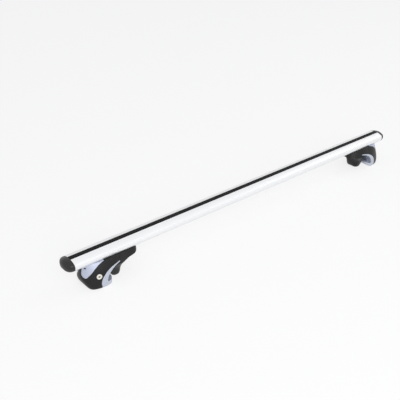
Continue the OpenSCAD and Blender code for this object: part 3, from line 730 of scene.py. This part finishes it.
# Lock: a cream ring let into the cover, and a barrel whose cream face holds a small metal
# keyway. The barrel turns in the ring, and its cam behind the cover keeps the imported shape.
def revolved(name, profile, matrix, sides=96):
    """A solid turned from a closed profile of radius and height, along the Z of a placing matrix."""
    points, faces = [], []
    count = len(profile)
    for i in range(sides):
        angle = 2 * math.pi * i / sides
        points += [matrix @ Vector((r * math.cos(angle), r * math.sin(angle), z)) for r, z in profile]
    for i in range(sides):
        for k in range(count):
            j, n = (i + 1) % sides, (k + 1) % count
            faces.append([i * count + k, i * count + n, j * count + n, j * count + k])
    return scratch(name, points, faces)


cream = grained("cream_ring_enamel", (0.86, 0.84, 0.76), 0.3, grain=0.4, relief=0.005, tone=0.02, cloud=5.0)
keyway_metal = grained("keyway_metal", (0.30, 0.29, 0.23), 0.34, metal=0.85, grain=0.25, relief=0.006,
                       tone=0.1, cloud=3.0)
lock_frame = Matrix.Translation(lock_place) @ lock_lean
ring_profile = [(5.12, -2.35), (7.2, -2.35), (7.22, 0.5), (7.1, 0.85), (6.8, 1.08), (6.4, 1.18),
                (5.95, 1.16), (5.6, 1.0), (5.35, 0.72), (5.2, 0.4), (5.12, 0.1)]
bezel = revolved("ring", ring_profile, lock_frame)
for one in keep_pair(bezel, "lock_bezel", "cover", ["lock_ring"], cream):
    smooth(one, 60)
barrel_deep = -11.9
face_profile = [(2.95, barrel_deep), (4.95, barrel_deep), (4.97, 0.3), (4.85, 0.52), (4.6, 0.64), (4.2, 0.68),
                (3.6, 0.62), (3.15, 0.5), (2.95, 0.3)]
barrel = revolved("face", face_profile, lock_frame)
for one in keep_pair(barrel, "lock_barrel_face", "lock", ["lock_barrel"], cream):
    smooth(one, 60)
keyway_profile = [(0.0, barrel_deep), (2.9, barrel_deep), (2.9, 0.05), (2.75, 0.2), (2.4, 0.26), (0.0, 0.26)]
keyway = revolved("keyway", keyway_profile, lock_frame)
slot_outline = [(-0.45, -2.05), (0.45, -2.05), (0.45, 1.3), (0.85, 1.5), (0.85, 2.0), (-0.45, 2.0)]
slot_cut = scratch("key_slot", *prism(slot_outline, -1.9, 2, "x"))
upright = Matrix.Rotation(-math.pi / 2, 4, "Y") @ Matrix.Rotation(math.pi / 2, 4, "X")
slot_cut.data.transform(lock_frame @ upright)
carve(keyway, "DIFFERENCE", slot_cut)
for one in keep_pair(keyway, "lock_keyway", "lock", [], keyway_metal):
    smooth(one, 40)

# Draw bolt: a zinc-plated cap screw across each foot, with a knurled head, a hexagon socket and
# a rolled thread along the end that the jaw's nut runs on.
zinc = grained("zinc_bolt", (0.60, 0.61, 0.62), 0.28, metal=1.0, grain=0.5, relief=0.01, tone=0.08, cloud=6.0)
bolt_frame = Matrix.Translation(bolt_place) @ along_bar
bolt_r, pitch, thread_deep, thread_from, bolt_to, turn_points = 3.95, 1.25, 0.62, 14.0, 72.0, 36
# each ring's place along the bolt, its radius and its share of the thread, six rings to a turn
bolt_rings = [(-39.6, bolt_r, 0.0), (thread_from - 1.0, bolt_r, 0.0)]
bolt_rings += [(thread_from + pitch * k / 6, bolt_r, 1.0)
               for k in range(int((bolt_to - 0.8 - thread_from) / pitch * 6))]
bolt_rings += [(bolt_to - 0.5, 3.5, 0.5), (bolt_to, 2.9, 0.0)]
shank = []
for x, radius, threaded in bolt_rings:
    ring = []
    for i in range(turn_points):
        angle = 2 * math.pi * i / turn_points
        phase = (x / pitch - i / turn_points) % 1.0
        run_in = min(1.0, max(0.0, (x - thread_from + 1) / pitch))
        r = radius - thread_deep * threaded * (1 - abs(2 * phase - 1)) * run_in
        ring.append(bolt_frame @ Vector((r * math.cos(angle), r * math.sin(angle), x)))
    shank.append(ring)
bolt = loft("shank", shank)
knurl_points, knurl_deep, socket_r = 144, 0.16, 3.45
head_rings = []
for x, radius, knurled in ((-47.6, 5.7, 0.0), (-47.3, 6.1, 0.0), (-46.9, 6.35, 0.4), (-46.5, 6.5, 1.0),
                           (-41.2, 6.5, 1.0), (-40.6, 6.42, 0.0), (-39.65, 6.42, 0.0)):
    ring = []
    for i in range(knurl_points):
        angle = 2 * math.pi * i / knurl_points
        r = radius - knurled * knurl_deep * (i % 2)
        ring.append(bolt_frame @ Vector((r * math.cos(angle), r * math.sin(angle), x)))
    head_rings.append(ring)
head = loft("bolt_head", head_rings)
carve(head, "DIFFERENCE", turned(socket_r, -49, -43.6, bolt_place, along_bar, 6))
carve(bolt, "UNION", head)
for one in keep_pair(bolt, "threaded_draw_bolt", "bolt", ["draw_bolt"], zinc):
    smooth(one, 35)

# Hook pad: a soft grey rubber lining in the hook's inner curve, with upright grip ribs and a
# thin border, bonded where the vehicle's rail bears.
pad_rubber = grained("grey_pad_rubber", (0.16, 0.18, 0.225), 0.58, grain=0.4, relief=0.04, tone=0.12,
                     gloss=0.35, cloud=9.0)
pad_low, pad_high, pad_half, pad_rows, pad_columns = 15.4, 39.8, 26.0, 40, 200
grip_pitch = 4.0


def sheet(name, front_rows, back_rows):
    """A closed mesh between two grids of points, the front and the back of a pad."""
    rows, wide = len(front_rows) - 1, len(front_rows[0])
    points = [p for row in front_rows for p in row] + [p for row in back_rows for p in row]
    back_at = len(points) // 2
    faces = []
    for r in range(rows):
        for c in range(wide - 1):
            i = r * wide + c
            faces.append([i, i + 1, i + wide + 1, i + wide])
            faces.append([back_at + i, back_at + i + wide, back_at + i + wide + 1, back_at + i + 1])
    for c in range(wide - 1):
        top = rows * wide + c
        faces += [[c, back_at + c, back_at + c + 1, c + 1], [top, top + 1, back_at + top + 1, back_at + top]]
    for r in range(rows):
        i, j = r * wide, (r + 1) * wide - 1
        faces.append([i, i + wide, back_at + i + wide, back_at + i])
        faces.append([j, back_at + j, back_at + j + wide, j + wide])
    return scratch(name, points, faces)


inner_side, outer_side = [], []
for r in range(pad_rows + 1):
    z = pad_low + (pad_high - pad_low) * r / pad_rows
    turn_to = math.pi - math.asin((z - hook_z) / (inner_b - 0.1))
    back = (hook_x + (inner_a - 0.12) * math.cos(turn_to), z)
    edge_r = min(1.0, min(r, pad_rows - r) / 2)
    front_row, back_row = [], []
    for c in range(pad_columns + 1):
        y = -pad_half + 2 * pad_half * c / pad_columns
        edge = min(edge_r, min(c, pad_columns - c) / 4, 1.0)
        grip = 0.5 + 0.5 * math.cos(2 * math.pi * y / grip_pitch)
        gripped = 3 < r < pad_rows - 3 and 10 < c < pad_columns - 10
        thick = 1.5 + 0.9 * (0.35 + 0.65 * grip ** 0.5 if gripped else 0.35)
        thick *= 0.55 + 0.45 * math.sqrt(edge)
        front_row.append((back[0] + thick * -math.cos(turn_to), y,
                          back[1] - 0.25 * thick * math.sin(turn_to)))
        back_row.append((back[0], y, back[1]))
    inner_side.append(front_row)
    outer_side.append(back_row)
hook_pad = sheet("pad", inner_side, outer_side)
for one in keep_pair(hook_pad, "ribbed_hook_pad", "foot", ["hook_pad"], pad_rubber):
    smooth(one, 50)

# Jaw pad: a narrow grey rubber pad bonded to the sloping front of the claw, which bears on the
# rail from inboard. It has the same grip ribs as the pad in the hook.
slope_foot, slope_head = Vector((20.2, 11.6)), Vector((14.3, 22.4))
pad_half, pad_rows, pad_columns, pad_sunk = 16.0, 20, 120, 0.6
along = (slope_head - slope_foot).normalized()
out_x, out_z = -along.y, along.x
front_rows, back_rows = [], []
for r in range(pad_rows + 1):
    base = slope_foot + (slope_head - slope_foot) * r / pad_rows
    front_row, back_row = [], []
    for c in range(pad_columns + 1):
        y = -pad_half + 2 * pad_half * c / pad_columns
        edge = min(r, pad_rows - r, min(c, pad_columns - c) / 2, 3) / 3
        grip = 0.5 + 0.5 * math.cos(2 * math.pi * y / grip_pitch) if edge == 1 else 0.0
        thick = 0.7 + 0.7 * math.sqrt(edge) + 0.5 * grip ** 0.5
        front_row.append((base.x + out_x * thick, y, base.y + out_z * thick))
        back_row.append((base.x - out_x * pad_sunk, y, base.y - out_z * pad_sunk))
    front_rows.append(front_row)
    back_rows.append(back_row)
jaw_pad = sheet("jaw_pad", front_rows, back_rows)
for one in keep_pair(jaw_pad, "ribbed_jaw_pad", "jaw", ["jaw_pad"], pad_rubber):
    smooth(one, 50)

# Small fittings: rubber, zinc-plated steel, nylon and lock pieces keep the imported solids'
# shape, with eased edges and a finish of their own.
finishes = {
    "bar_seat": grained("seat_rubber", (0.02, 0.02, 0.021), 0.7, grain=0.3, relief=0.03, tone=0.2, gloss=0.3),
    "slot_plate": grained("zinc_plate", (0.58, 0.59, 0.60), 0.32, metal=1.0, grain=0.6, relief=0.01,
                          tone=0.08),
    "trim_pins": grained("sunk_pin_plastic", (0.008, 0.008, 0.008), 0.5, grain=0.3, relief=0.01, tone=0.2),
    "jaw_guide": grained("guide_nylon", (0.02, 0.02, 0.02), 0.45, grain=0.4, relief=0.02, tone=0.2,
                         gloss=0.4),
    "foot_screws": zinc,
    "jaw_nut": zinc,
    "guide_screw": zinc,
}
same = {"lock_cam": "slot_plate", "bolt_washer": "slot_plate"}
for name, node in nodes.items():
    base = name.replace("_left", "").replace("_right", "")
    paint = finishes.get(same.get(base, base))
    if paint:
        node.data.materials.clear()
        node.data.materials.append(paint)
        ease = node.modifiers.new("eased_edges", "BEVEL")
        ease.width = 0.00025
        ease.segments = 2
        ease.limit_method = "ANGLE"
        ease.angle_limit = math.radians(40)
